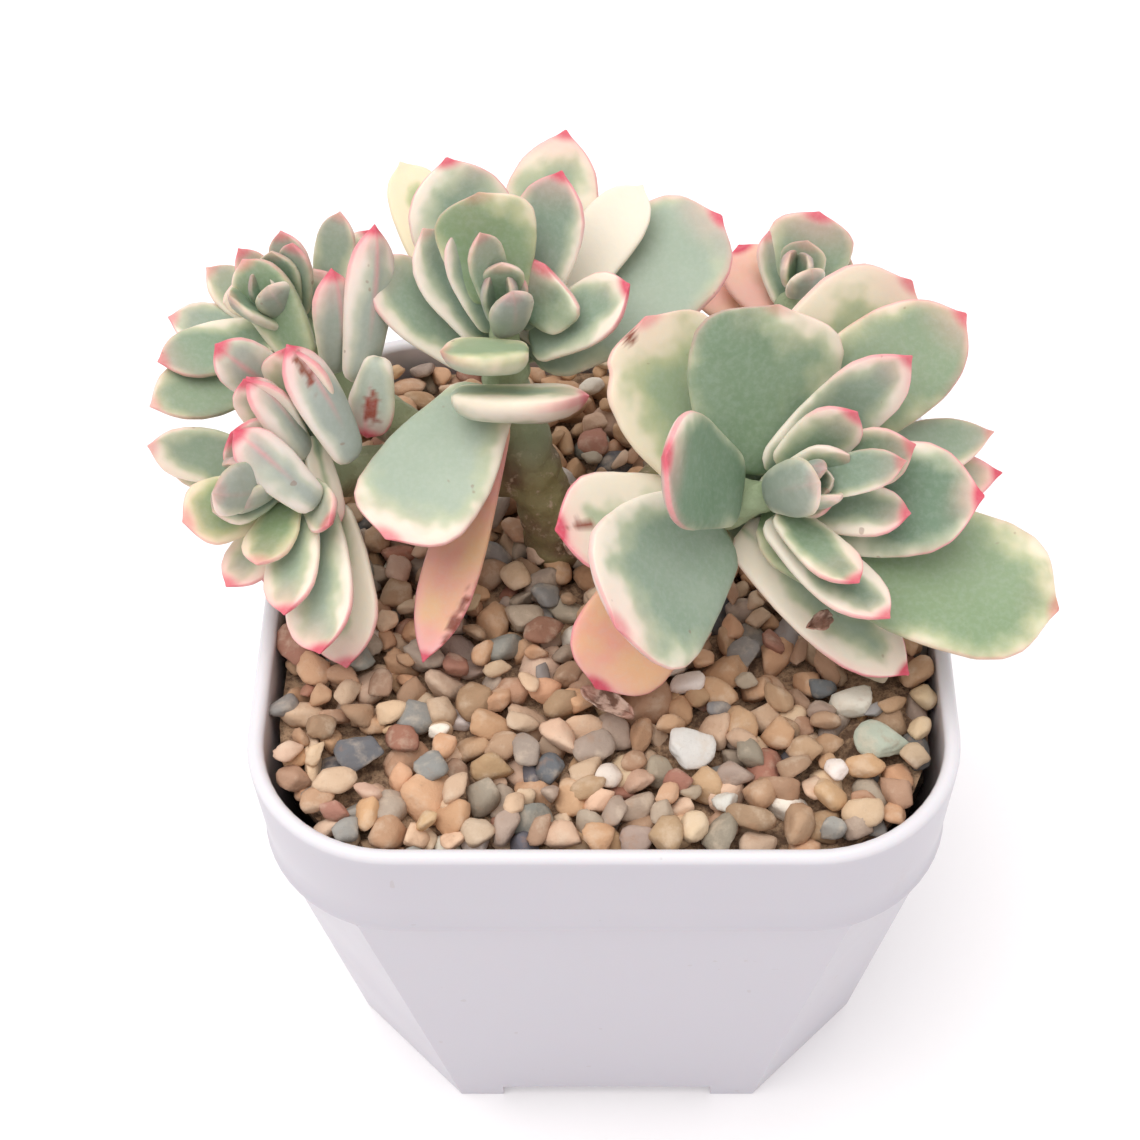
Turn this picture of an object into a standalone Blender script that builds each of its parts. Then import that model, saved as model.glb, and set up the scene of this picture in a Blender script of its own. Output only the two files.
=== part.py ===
"""Potted succulent: a branching rosette plant in a square plastic pot with a gravel top dressing.

Lengths are in millimetres and angles in degrees. The origin is on the ground under the pot's
centre, +Z is up and the front, where the lowest leaf hangs over the rim, faces -Y.

Everything hangs from the empty "potted_succulent". The plant's own empty stands at the level of the
rim. Each rosette is an empty at its growing point that leans with the rosette and holds its leaves.
"""

import math
import random

import bpy
import numpy as np
from mathutils import Matrix, Quaternion, Vector, noise

MM = 0.001

# Pot
RIM_HALF = 37.5
RIM_CORNER = 16.0
POT_HEIGHT = 65.0
WALL = 1.75
COLLAR_HEIGHT = 14.8
COLLAR_BOTTOM_HALF = RIM_HALF - 0.5
BODY_TOP_HALF = RIM_HALF - 1.5
BODY_TOP_CHAMFER = 9.75
BASE_HALF = RIM_HALF - 7.0
BASE_CHAMFER = 12.5
FLOOR_UNDERSIDE = 2.7
FLOOR_TOP = 4.2
NOTCH_WIDTH = 25.6
DRAIN_RADIUS = 1.6
DRAIN_OFFSET = 18.0
CORNER_STEPS = 6

# Filling
GAP = 0.3
GRAVEL_BOTTOM = POT_HEIGHT - 9.0
GRAVEL_TOP = POT_HEIGHT - 4.2
MIX_TOP = GRAVEL_BOTTOM - GAP
GRAVEL_RELIEF = 0.7
GRAVEL_GRID = 18

# The plant's heights, here and in the tables below, are measured from the level of the pot's rim
ROOT_DEPTH = 10.0
STEM_FOOT = Vector((-5.0, 5.5, -9.0))
STEM_FOOT_RADIUS = 3.6

# Stem inside a rosette: it narrows towards its growing point
TIP_RADIUS = 0.9
NECK_RADIUS = 2.6
NECK_DOWN = 9.0
SHANK_STOPS = (2.5, 5.0, 9.0, 13.0)
TUBE_SIDES = 10

# Leaf outline and thickness along its length, as shares of its length, width and thickness
LEAF_RINGS = (
    (0.00, 0.48, 0.80),
    (0.12, 0.56, 0.90),
    (0.28, 0.74, 1.00),
    (0.45, 0.92, 1.00),
    (0.61, 1.00, 1.00),
    (0.76, 0.97, 0.88),
    (0.88, 0.78, 0.66),
    (0.96, 0.44, 0.36),
)
# Leaf cross-section: two edges, a slightly channelled upper face and a keeled lower face
LEAF_SECTION = (
    (-1.0, 0.0), (-0.55, 0.34), (0.0, 0.22), (0.55, 0.34),
    (1.0, 0.0), (0.6, -0.42), (0.0, -0.66), (-0.6, -0.42),
)
LEAF_INCURVE = 16.0
LEAF_STEPS = 16
LEAF_STAND_OFF = 0.35
TWIST_DONE = 0.3

# Rosettes: growing point, the way the axis leans, how far, and the leaves from the inside out. A leaf row is
# turn about the axis, opening from the axis, distance below the growing point, length, width and twist.
ROSETTES = {
    "crown": ((-10.5, 12.5, 28.0), -65, 2, (
        (45, 32, 2.5, 6.5, 8.5, -5),
        (109, 29, 0.5, 12.0, 8.5, 5),
        (139, 43, 5.0, 13.0, 6.0, 10),
        (64, 37, 5.0, 17.5, 7.0, 5),
        (111, 49, 7.0, 20.0, 9.5, 10),
        (5, 51, 5.5, 13.5, 6.5, -15),
        (75, 54, 11.0, 26.0, 9.5, 0),
        (157, 50, 8.5, 16.0, 7.0, 15),
        (49, 65, 6.5, 21.5, 6.5, -5),
        (118, 69, 9.5, 25.0, 6.5, 5),
        (32, 71, 8.5, 26.0, 12.5, -10),
        (239, 99, 9.5, 21.0, 11.5, 5),
        (252, 121, 12.0, 28.5, 5.5, 0),
    )),
    "right": ((19.0, -7.0, 22.0), -25, 50, (
        (95, 24, 1.0, 10.5, 4.5, 20),
        (39, 27, 1.5, 13.5, 4.5, -10),
        (354, 30, 2.5, 13.0, 4.0, -5),
        (294, 47, 1.5, 12.0, 4.5, -25),
        (9, 36, 4.5, 21.5, 10.0, -10),
        (76, 37, 3.5, 19.0, 6.5, 5),
        (308, 51, 3.5, 16.5, 6.0, -15),
        (352, 52, 11.5, 25.0, 8.0, -15),
        (348, 51, 6.5, 32.5, 14.0, -5),
        (67, 42, 8.5, 29.0, 10.5, 20),
        (22, 53, 9.5, 28.5, 6.5, 0),
        (74, 51, 11.5, 29.5, 12.5, 5),
        (114, 61, 6.0, 18.0, 14.5, 25),
        (193, 70, 4.5, 18.5, 10.0, 10),
        (328, 67, 9.0, 23.5, 7.5, -20),
        (234, 89, 8.5, 20.0, 15.0, -5),
        (136, 87, 9.5, 18.5, 13.5, 15),
        (205, 108, 11.0, 16.0, 9.0, -5),
        (264, 122, 12.5, 19.0, 10.5, -20),
    )),
    "low": ((-36.0, -2.0, 17.0), -135, 58, (
        (270, 44, 3.0, 8.5, 4.5, 25),
        (194, 29, 3.5, 10.0, 6.0, 0),
        (101, 35, 3.5, 6.0, 5.5, -25),
        (75, 49, 5.5, 11.0, 5.5, -20),
        (235, 49, 5.5, 11.5, 5.0, 10),
        (145, 45, 4.5, 13.5, 5.5, 5),
        (275, 59, 4.5, 13.5, 5.5, 20),
        (63, 63, 7.5, 13.0, 7.5, -15),
        (278, 68, 6.5, 17.5, 7.5, 15),
        (270, 83, 8.5, 18.0, 8.0, 15),
    )),
    "upper": ((-35.0, 18.0, 24.0), -165, 18, (
        (125, 31, 3.5, 6.0, 7.5, 5),
        (41, 45, 4.5, 5.0, 6.0, -15),
        (50, 44, 6.5, 12.5, 4.5, -15),
        (49, 63, 8.0, 12.0, 5.5, -15),
        (172, 63, 6.0, 12.5, 5.5, 5),
        (182, 77, 8.0, 13.0, 8.0, 10),
    )),
    "rear": ((21.5, 27.0, 19.0), 20, 6, (
        (72, 35, 3.5, 9.0, 8.5, -5),
        (131, 75, 8.5, 9.5, 9.5, 15),
    )),
}

# Leaves lying across the front of the crown: foot, roll, pitch and turn, length, width
CROSS_LEAVES = {
    "crown_leaf_14": ((-7.8, 7.2, 27.2), (27, -2.5, 181), 9.2, 5.0),
    "crown_leaf_15": ((-16.0, 6.0, 22.0), (-33.5, 0, 0), 14.5, 7.0),
}

# Stem: places and radii of the trunk and of each branch, before the rosettes' own shanks
TRUNK = (((-6.0, 6.5, 1.0), 3.4), ((-8.2, 9.0, 9.0), 3.1))
BRANCHES = {
    "low": (((-7.0, 8.0, 6.0), 2.4), ((-17.0, 9.0, 8.0), 2.3)),
    "upper": (((-16.0, 9.0, 8.0), 2.2),),
    "right": (((-6.0, 6.5, 2.0), 2.8), ((4.0, 4.0, 5.0), 2.7)),
    "rear": (((2.0, 5.0, 4.5), 2.2), ((13.0, 15.0, 8.0), 2.1)),
}

# Larger stones lying on the gravel: place, length, width, height, turn
STONES = {
    "stone_green": ((29.0, -21.5), 7.5, 5.0, 2.9, 20),
    "stone_white": ((9.0, -22.5), 6.0, 5.0, 3.2, -15),
    "stone_pale": ((29.5, -11.5), 6.0, 4.5, 3.0, 50),
    "stone_dark": ((-25.5, -23.0), 6.5, 4.5, 2.8, -35),
}


# Colours (red, green, blue) and roughness
WHITE_PLASTIC = (0.79, 0.77, 0.81)
COMPOST = (0.07, 0.045, 0.03)
GRIT = (0.45, 0.30, 0.20)
BARK = (0.20, 0.15, 0.08)
LEAF_GREEN = (0.22, 0.31, 0.23)
LEAF_CREAM = (0.62, 0.58, 0.46)
LEAF_PEACH = (0.78, 0.45, 0.22)
PEACH_LEAVES = ("crown_leaf_13", "right_leaf_19", "rear_leaf_02")
STONE_COLOURS = {
    "stone_green": (0.30, 0.35, 0.26),
    "stone_white": (0.72, 0.69, 0.64),
    "stone_pale": (0.56, 0.50, 0.36),
    "stone_dark": (0.12, 0.12, 0.13),
}


def clear_scene():
    for obj in list(bpy.data.objects):
        bpy.data.objects.remove(obj)


def add_empty(name, parent=None, location=(0, 0, 0), rotation=None):
    empty = bpy.data.objects.new(name, None)
    empty.parent = parent
    empty.location = Vector(location) * MM
    if rotation:
        empty.rotation_mode = "QUATERNION"
        empty.rotation_quaternion = rotation
    bpy.context.collection.objects.link(empty)
    return empty


def add_object(name, points, faces):
    mesh = bpy.data.meshes.new(name)
    mesh.from_pydata([tuple(Vector(p) * MM) for p in points], [], faces)
    mesh.validate()
    obj = bpy.data.objects.new(name, mesh)
    bpy.context.collection.objects.link(obj)
    return obj


def place(obj, parent, location=(0, 0, 0), rotation=(0, 0, 0)):
    """Hangs a piece from its parent, at a location and rotation in the parent's frame."""
    obj.parent = parent
    obj.location = Vector(location) * MM
    obj.rotation_euler = [math.radians(angle) for angle in rotation]


def paint(obj, colour, roughness):
    """Gives a piece its own plain, non-metallic material."""
    material = bpy.data.materials.new(obj.name)
    material.use_nodes = True
    shader = material.node_tree.nodes["Principled BSDF"]
    shader.inputs["Base Color"].default_value = (*colour, 1.0)
    shader.inputs["Roughness"].default_value = roughness
    shader.inputs["Metallic"].default_value = 0.0
    obj.data.materials.clear()
    obj.data.materials.append(material)


def loft(name, rings, joined=False):
    """A closed body through rings of equal point count, capped at both ends or joined end to end."""
    count = len(rings[0])
    points = [p for ring in rings for p in ring]
    faces = []
    for r in range(len(rings) if joined else len(rings) - 1):
        above = (r + 1) % len(rings)
        for i in range(count):
            j = (i + 1) % count
            faces.append((r * count + i, r * count + j, above * count + j, above * count + i))
    if not joined:
        faces.append(tuple(reversed(range(count))))
        faces.append(tuple(range(len(points) - count, len(points))))
    return add_object(name, points, faces)


def apply_boolean(obj, operation, cutter):
    """Runs one Boolean on obj, bakes it in and removes the cutter."""
    modifier = obj.modifiers.new(operation.title(), "BOOLEAN")
    modifier.operation = operation
    modifier.solver = "EXACT"
    modifier.object = cutter
    bpy.context.view_layer.update()
    evaluated = obj.evaluated_get(bpy.context.evaluated_depsgraph_get())
    result = bpy.data.meshes.new_from_object(evaluated)
    obj.modifiers.clear()
    obj.data = result
    bpy.data.objects.remove(cutter)


def box(name, size):
    """A block centred on the origin."""
    x, y, z = Vector(size) / 2
    outline = ((-x, -y), (x, -y), (x, y), (-x, y))
    return loft(name, [[(*corner, level) for corner in outline] for level in (-z, z)])


def cylinder(name, centre, radius, low, high, sides=20):
    rings = []
    for level in (low, high):
        ring = []
        for i in range(sides):
            angle = 2 * math.pi * i / sides
            ring.append((centre[0] + radius * math.cos(angle), centre[1] + radius * math.sin(angle), level))
        rings.append(ring)
    return loft(name, rings)


def square_ring(half, corner, z, rounded):
    """A square of the given half-width whose corners are arcs if rounded, otherwise chamfers."""
    ring = []
    for quarter in range(4):
        turn = Matrix.Rotation(quarter * math.pi / 2, 2)
        for i in range(CORNER_STEPS + 1):
            share = i / CORNER_STEPS
            if rounded:
                angle = share * math.pi / 2
                at = Vector((half - corner + corner * math.cos(angle), half - corner + corner * math.sin(angle)))
            else:
                at = Vector((half - share * corner, half - corner + share * corner))
            at = turn @ at
            ring.append((at.x, at.y, z))
    return ring


def inner_half(z):
    """Half-width of the pot's hollow at a height, across the flats of the body."""
    share = (z - FLOOR_TOP) / (POT_HEIGHT - COLLAR_HEIGHT - FLOOR_TOP)
    return BASE_HALF - WALL + share * (BODY_TOP_HALF - BASE_HALF)


def pot_shell():
    """Chamfered body, a rounded-square collar standing proud of it, and the hollow down to the floor."""
    collar_bottom = POT_HEIGHT - COLLAR_HEIGHT
    outside = [
        square_ring(BASE_HALF, BASE_CHAMFER, 0.0, False),
        square_ring(BODY_TOP_HALF, BODY_TOP_CHAMFER, collar_bottom, False),
        square_ring(COLLAR_BOTTOM_HALF - 0.1, RIM_CORNER, collar_bottom + 0.1, True),
        square_ring(COLLAR_BOTTOM_HALF + 0.15, RIM_CORNER, collar_bottom + 0.7, True),
        square_ring(COLLAR_BOTTOM_HALF, RIM_CORNER, collar_bottom + 1.5, True),
        square_ring(RIM_HALF, RIM_CORNER, POT_HEIGHT - 0.9, True),
        square_ring(RIM_HALF - 0.35, RIM_CORNER - 0.35, POT_HEIGHT - 0.15, True),
        square_ring(RIM_HALF - 0.7, RIM_CORNER - 0.7, POT_HEIGHT, True),
    ]
    shoulder = POT_HEIGHT - 12.0
    inside = [
        square_ring(RIM_HALF - 1.3, RIM_CORNER - 1.3, POT_HEIGHT, True),
        square_ring(RIM_HALF - WALL, RIM_CORNER - WALL, POT_HEIGHT - 0.7, True),
        square_ring(inner_half(shoulder), BODY_TOP_CHAMFER - 0.3, shoulder, False),
        square_ring(BASE_HALF - WALL, BASE_CHAMFER - 0.5, FLOOR_TOP, False),
    ]
    return loft("pot", outside + inside)


def make_pot(root):
    """The pot stands on its four corners: its floor is raised and each side has a notch at the ground."""
    pot = pot_shell()
    under = [
        square_ring(BASE_HALF - WALL, BASE_CHAMFER - 0.5, -1.0, False),
        square_ring(BASE_HALF - WALL, BASE_CHAMFER - 0.5, FLOOR_UNDERSIDE, False),
    ]
    apply_boolean(pot, "DIFFERENCE", loft("under", under))
    apply_boolean(pot, "DIFFERENCE", box("notch_x", (NOTCH_WIDTH, 80, 2 * FLOOR_UNDERSIDE - 0.2)))
    apply_boolean(pot, "DIFFERENCE", box("notch_y", (80, NOTCH_WIDTH, 2 * FLOOR_UNDERSIDE - 0.2)))
    for x in (-DRAIN_OFFSET, DRAIN_OFFSET):
        for y in (-DRAIN_OFFSET, DRAIN_OFFSET):
            apply_boolean(pot, "DIFFERENCE", cylinder("drain", (x, y), DRAIN_RADIUS, 2, 5, 12))
    place(pot, root)
    paint(pot, WHITE_PLASTIC, 0.45)


def make_potting_mix(root):
    """The mix fills the pot up to the gravel, with a socket for the plant's root stub."""
    rings = [
        square_ring(inner_half(z) - GAP - 0.1, BASE_CHAMFER + trim, z, False)
        for z, trim in ((FLOOR_TOP + GAP, 0.0), ((FLOOR_TOP + MIX_TOP) / 2, -0.5), (MIX_TOP, 0.4))
    ]
    mix = loft("potting_mix", rings)
    root_end = POT_HEIGHT + STEM_FOOT.z - ROOT_DEPTH - GAP
    socket = cylinder("socket", STEM_FOOT, STEM_FOOT_RADIUS + 0.6, root_end, POT_HEIGHT)
    apply_boolean(mix, "DIFFERENCE", socket)
    place(mix, root)
    paint(mix, COMPOST, 0.95)


def gravel_height(x, y):
    return GRAVEL_TOP + GRAVEL_RELIEF * noise.noise(Vector((x, y, 3.0)) * 0.21)


def make_gravel_bed(root):
    """The top dressing: a lumpy layer that follows the pot's walls and goes round the stem."""
    reach = RIM_HALF + 2
    line = [reach * (2 * i / GRAVEL_GRID - 1) for i in range(GRAVEL_GRID + 1)]
    count = len(line)
    top = [(x, y, gravel_height(x, y)) for y in line for x in line]
    faces = [
        (r * count + i, r * count + i + 1, (r + 1) * count + i + 1, (r + 1) * count + i)
        for r in range(GRAVEL_GRID)
        for i in range(GRAVEL_GRID)
    ]
    border = (
        list(range(count))
        + [r * count + count - 1 for r in range(1, count)]
        + [(count - 1) * count + i for i in range(count - 2, -1, -1)]
        + [r * count for r in range(count - 2, 0, -1)]
    )
    low = [(top[i][0], top[i][1], GRAVEL_BOTTOM - 2) for i in border]
    start = len(top)
    for i, here in enumerate(border):
        j = (i + 1) % len(border)
        faces.append((here, start + i, start + j, border[j]))
    faces.append(tuple(start + i for i in reversed(range(len(border)))))
    bed = add_object("gravel_bed", top + low, faces)
    middle = (STEM_FOOT.x - 0.5, STEM_FOOT.y + 0.5)
    hole = cylinder("hole", middle, STEM_FOOT_RADIUS + 1.0, GRAVEL_BOTTOM - 6, POT_HEIGHT + 5)
    apply_boolean(bed, "DIFFERENCE", hole)
    walls = [
        square_ring(inner_half(GRAVEL_BOTTOM) - GAP - 0.2, RIM_CORNER + 2, GRAVEL_BOTTOM, True),
        square_ring(RIM_HALF - WALL - GAP - 0.3, RIM_CORNER, POT_HEIGHT, True),
    ]
    apply_boolean(bed, "INTERSECT", loft("walls", walls))
    place(bed, root)
    paint(bed, GRIT, 0.85)


def make_stone(root, name, middle, length, width, height, turn):
    """An irregular rounded stone resting on the gravel."""
    rng = random.Random(name)
    shift = Vector((rng.uniform(0, 50), rng.uniform(0, 50), rng.uniform(0, 50)))
    rings = []
    for r in range(1, 6):
        polar = math.pi * (1 - r / 6)
        ring = []
        for i in range(10):
            around = 2 * math.pi * i / 10
            way = Vector((math.sin(polar) * math.cos(around), math.sin(polar) * math.sin(around), math.cos(polar)))
            way *= 1 + 0.12 * noise.noise(way * 1.7 + shift)
            ring.append((way.x * length / 2, way.y * width / 2, way.z * height / 2))
        rings.append(ring)
    stone = loft(name, rings)
    place(stone, root, (*middle, GRAVEL_TOP + GRAVEL_RELIEF + GAP + height / 2), (0, 0, turn))
    paint(stone, STONE_COLOURS[name], 0.8)


def rosette_rotation(lean_towards, lean):
    """Tips a rosette's axis over from vertical."""
    towards = math.radians(lean_towards)
    return Quaternion((-math.sin(towards), math.cos(towards), 0), math.radians(lean))


def shank_radius(down):
    return TIP_RADIUS + (NECK_RADIUS - TIP_RADIUS) * min(1.0, down / NECK_DOWN)


def tube(name, stops):
    """A tapering round tube with domed ends through (place, radius) stops."""
    places = [Vector(place) for place, _ in stops]
    rings = []
    last = len(stops) - 1
    across = Vector((1, 0, 0))
    for i, (_, radius) in enumerate(stops):
        along = (places[min(i + 1, last)] - places[max(i - 1, 0)]).normalized()
        side = along.cross(across).normalized()
        front = side.cross(along)
        shares = [(0.0, 1.0)]
        if i == 0:
            shares = [(-0.9, 0.35), (-0.6, 0.8), (0.0, 1.0)]
        if i == last:
            shares = [(0.0, 1.0), (0.6, 0.8), (0.9, 0.35)]
        for ahead, share in shares:
            centre = places[i] + along * ahead * radius
            ring = []
            for k in range(TUBE_SIDES):
                angle = 2 * math.pi * k / TUBE_SIDES
                ring.append(centre + (front * math.cos(angle) + side * math.sin(angle)) * radius * share)
            rings.append(ring)
    return loft(name, rings)


def shank_stop(rosette, down):
    apex, lean_towards, lean, _ = ROSETTES[rosette]
    axis = rosette_rotation(lean_towards, lean) @ Vector((0, 0, 1))
    return Vector(apex) - axis * down, shank_radius(down)


def shank(rosette):
    """The stops of the stem inside a rosette, from its neck up to its growing point."""
    return [shank_stop(rosette, down) for down in reversed(SHANK_STOPS)]


def make_stem(plant):
    """One trunk from the root stub to the crown, with branches to the other four rosettes."""
    stub = STEM_FOOT - Vector((0, 0, ROOT_DEPTH - 1.6))
    stem = tube("stem", [(stub, 1.8), (STEM_FOOT, STEM_FOOT_RADIUS), *TRUNK, *shank("crown")])
    for rosette, stops in BRANCHES.items():
        apply_boolean(stem, "UNION", tube("branch", [*stops, *shank(rosette)]))
    place(stem, plant)
    paint(stem, BARK, 0.65)


def leaf_spine(length):
    """Middle line of a leaf lying along +X with its upper face up: it curls upwards at both ends."""
    share = np.linspace(0.0, 1.0, LEAF_STEPS + 1)
    dip = np.radians(LEAF_INCURVE * (0.5 - share))[:, None]
    heading = np.hstack([np.cos(dip), 0 * dip, -np.sin(dip)])
    upper = np.hstack([np.sin(dip), 0 * dip, np.cos(dip)])
    steps = (heading[1:] + heading[:-1]) / 2 * length / LEAF_STEPS
    places = np.vstack([np.zeros(3), np.cumsum(steps, axis=0)])
    return share, places, upper


def at_share(share, table, s):
    return np.array([np.interp(s, share, table[:, k]) for k in range(3)])


def leaf_body(name, length, width, twist):
    """A thick spoon-shaped leaf along +X that turns about its own length by its twist and ends in a point."""
    share, places, upper = leaf_spine(length)
    thickness = 0.8 + 0.15 * width
    points = []
    for s, wide, thick in LEAF_RINGS:
        centre = at_share(share, places, s)
        level = at_share(share, upper, s)
        turn = math.radians(twist) * min(1.0, s / TWIST_DONE)
        side = np.array([0.0, 1.0, 0.0])
        up = math.cos(turn) * level + math.sin(turn) * side
        sideways = math.cos(turn) * side - math.sin(turn) * level
        for across, rise in LEAF_SECTION:
            points.append(centre + sideways * across * width / 2 * wide + up * rise * thickness * thick)
    points.append(places[-1])
    count = len(LEAF_SECTION)
    faces = [tuple(range(count))]
    for r in range(len(LEAF_RINGS) - 1):
        for i in range(count):
            j = (i + 1) % count
            faces.append((r * count + i, (r + 1) * count + i, (r + 1) * count + j, r * count + j))
    last = (len(LEAF_RINGS) - 1) * count
    for i in range(count):
        faces.append((last + i, len(points) - 1, last + (i + 1) % count))
    return add_object(name, points, faces)


def leaf_colour(name, openness):
    """Outer leaves are paler than inner ones, and the oldest have turned peach."""
    if name in PEACH_LEAVES:
        return LEAF_PEACH
    return Vector(LEAF_GREEN).lerp(Vector(LEAF_CREAM), min(1.0, openness / 150))


def make_leaf(rosette, name, turn, opening, down, length, width, twist):
    """A leaf on its rosette: turned about the axis, then opened away from it."""
    around = math.radians(turn)
    stand_off = shank_radius(down) + LEAF_STAND_OFF + 0.8 * abs(math.cos(math.radians(opening)))
    leaf = leaf_body(name, length, width, twist)
    location = (math.cos(around) * stand_off, math.sin(around) * stand_off, -down)
    place(leaf, rosette, location, (0, opening - 90, turn))
    paint(leaf, leaf_colour(name, opening), 0.5)


def make_rosette(plant, name):
    apex, lean_towards, lean, leaves = ROSETTES[name]
    rosette = add_empty(name + "_rosette", plant, apex, rosette_rotation(lean_towards, lean))
    for number, leaf in enumerate(leaves, 1):
        make_leaf(rosette, f"{name}_leaf_{number:02d}", *leaf)


def make_cross_leaf(plant, name, foot, rotation, length, width):
    """A leaf that lies across the front of the crown, seen from its edge."""
    leaf = leaf_body(name, length, width, 0.0)
    place(leaf, plant, foot, rotation)
    paint(leaf, leaf_colour(name, 110), 0.5)


def main():
    clear_scene()
    root = add_empty("potted_succulent")
    make_pot(root)
    make_potting_mix(root)
    make_gravel_bed(root)
    plant = add_empty("plant", root, (0, 0, POT_HEIGHT))
    make_stem(plant)
    for name, stone in STONES.items():
        make_stone(root, name, *stone)
    for name in ROSETTES:
        make_rosette(plant, name)
    for name, leaf in CROSS_LEAVES.items():
        make_cross_leaf(plant, name, *leaf)


main()
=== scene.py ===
"""Look of a potted succulent with variegated rosettes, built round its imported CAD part.

Lengths are in millimetres unless a name says otherwise; MM turns them into metres.
"""

import math
import random

import bmesh
import bpy
import numpy as np
from mathutils import Euler, Matrix, Vector, noise


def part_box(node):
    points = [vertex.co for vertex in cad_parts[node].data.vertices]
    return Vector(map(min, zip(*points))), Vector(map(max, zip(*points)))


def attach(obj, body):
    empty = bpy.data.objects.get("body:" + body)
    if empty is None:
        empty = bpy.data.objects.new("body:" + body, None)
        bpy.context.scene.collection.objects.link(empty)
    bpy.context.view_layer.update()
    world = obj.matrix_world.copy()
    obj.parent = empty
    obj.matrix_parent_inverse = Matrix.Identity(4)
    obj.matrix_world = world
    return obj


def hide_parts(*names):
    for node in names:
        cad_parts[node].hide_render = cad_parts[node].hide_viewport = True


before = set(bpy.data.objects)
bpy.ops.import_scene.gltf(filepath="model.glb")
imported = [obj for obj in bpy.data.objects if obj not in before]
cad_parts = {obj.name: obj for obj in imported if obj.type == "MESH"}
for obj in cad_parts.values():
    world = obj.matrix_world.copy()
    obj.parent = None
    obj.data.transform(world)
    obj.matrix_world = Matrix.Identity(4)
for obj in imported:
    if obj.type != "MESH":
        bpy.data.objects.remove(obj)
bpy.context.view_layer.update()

MM = 0.001
SEED = 20

# Camera, set for a square picture
CAMERA_PLACE = (2.0, -162.0, 262.0)
CAMERA_PITCH = 50.5
CAMERA_LENS = 72.6
CAMERA_SHIFT = (-0.0465, 0.0)

# Pot
RIM_HALF = 37.5
RIM_CORNER = 16.0
POT_HEIGHT = 65.0
WALL = 1.75
COLLAR_BOTTOM = 50.2
BODY_TOP_HALF = 36.0
BODY_TOP_CHAMFER = 9.75
BASE_HALF = 30.5
BASE_CHAMFER = 12.5
FLOOR_TOP = 4.2
FLOOR_THICKNESS = 1.5
LIP_RISE = 0.9
COLLAR_HALF = 37.0
COLLAR_SPREAD = 0.5
COLLAR_STRAIGHT = (51.4, 64.0)
COLLAR_LEVELS = (55.0, 60.0, 63.4)
COLLAR_EDGE = ((36.6, 0.0), (37.05, 0.12), (37.2, 0.45), (37.12, 0.85), (37.0, 1.2))
NOTCH_HALF = 12.8
NOTCH_HEIGHT = 2.6

# Gravel
STONE_KINDS = 26
STONE_COUNT = 900
STONE_TRIES = 5400
STONE_LENGTH = 4.5
STONE_SPREAD = 0.9
STONE_LEAST = 2.4
STONE_MOST = 6.6
STONE_WIDTHS = (0.60, 0.92)
STONE_HEIGHTS = (0.45, 0.72)
STONE_TILT = 0.4
BED_REACH = 36
BED_FLOOR = 60.2
BED_LIMIT = 65.0
MAP_STEP = 0.5

# Light
SKY = 0.78
SUN = 1.95
SUN_SPREAD = 60
SUN_TOWARDS = (-0.25, -0.05, 1.0)
FLOOR_GLOW = 0.20
FLOOR_REACH = 900.0

# Leaf outline: half-width share along the leaf, for a pointed and for a rounded leaf, and thickness share
POINTED = (
    (0.0, 0.30), (0.03, 0.58), (0.08, 0.71), (0.2, 0.81), (0.35, 0.92), (0.5, 0.99), (0.62, 1.0),
    (0.74, 0.94), (0.84, 0.74), (0.90, 0.50), (0.94, 0.29), (0.97, 0.13), (1.0, 0.02),
)
ROUNDED = (
    (0.0, 0.26), (0.03, 0.48), (0.08, 0.60), (0.2, 0.70), (0.35, 0.84), (0.5, 0.95), (0.65, 1.0),
    (0.78, 0.99), (0.87, 0.88), (0.925, 0.70), (0.955, 0.46), (0.975, 0.20), (1.0, 0.02),
)
BODY = (
    (0.0, 0.35), (0.04, 0.72), (0.12, 0.95), (0.2, 1.0), (0.5, 1.0),
    (0.7, 0.94), (0.84, 0.78), (0.93, 0.52), (0.98, 0.24), (1.0, 0.03),
)
ALONG_STEPS = 46
AROUND_STEPS = 36
INCURVE = math.radians(16)
WIDEST = (0.55, 0.82)

# Leaf cross-section, in shares of the thickness
UPPER_FACE = 0.42
CHANNEL = 0.13
LOWER_FACE = 0.62
KEEL = 0.12

# Rosettes: growing point, the way the axis leans and how far
HEADS = {
    "crown": ((-10.5, 12.5, 93.0), -65, 2),
    "right": ((19.0, -7.0, 87.0), -25, 50),
    "low": ((-36.0, -2.0, 82.0), -135, 58),
    "upper": ((-35.0, 18.0, 89.0), -165, 18),
    "rear": ((21.5, 27.0, 84.0), 20, 6),
}

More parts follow.
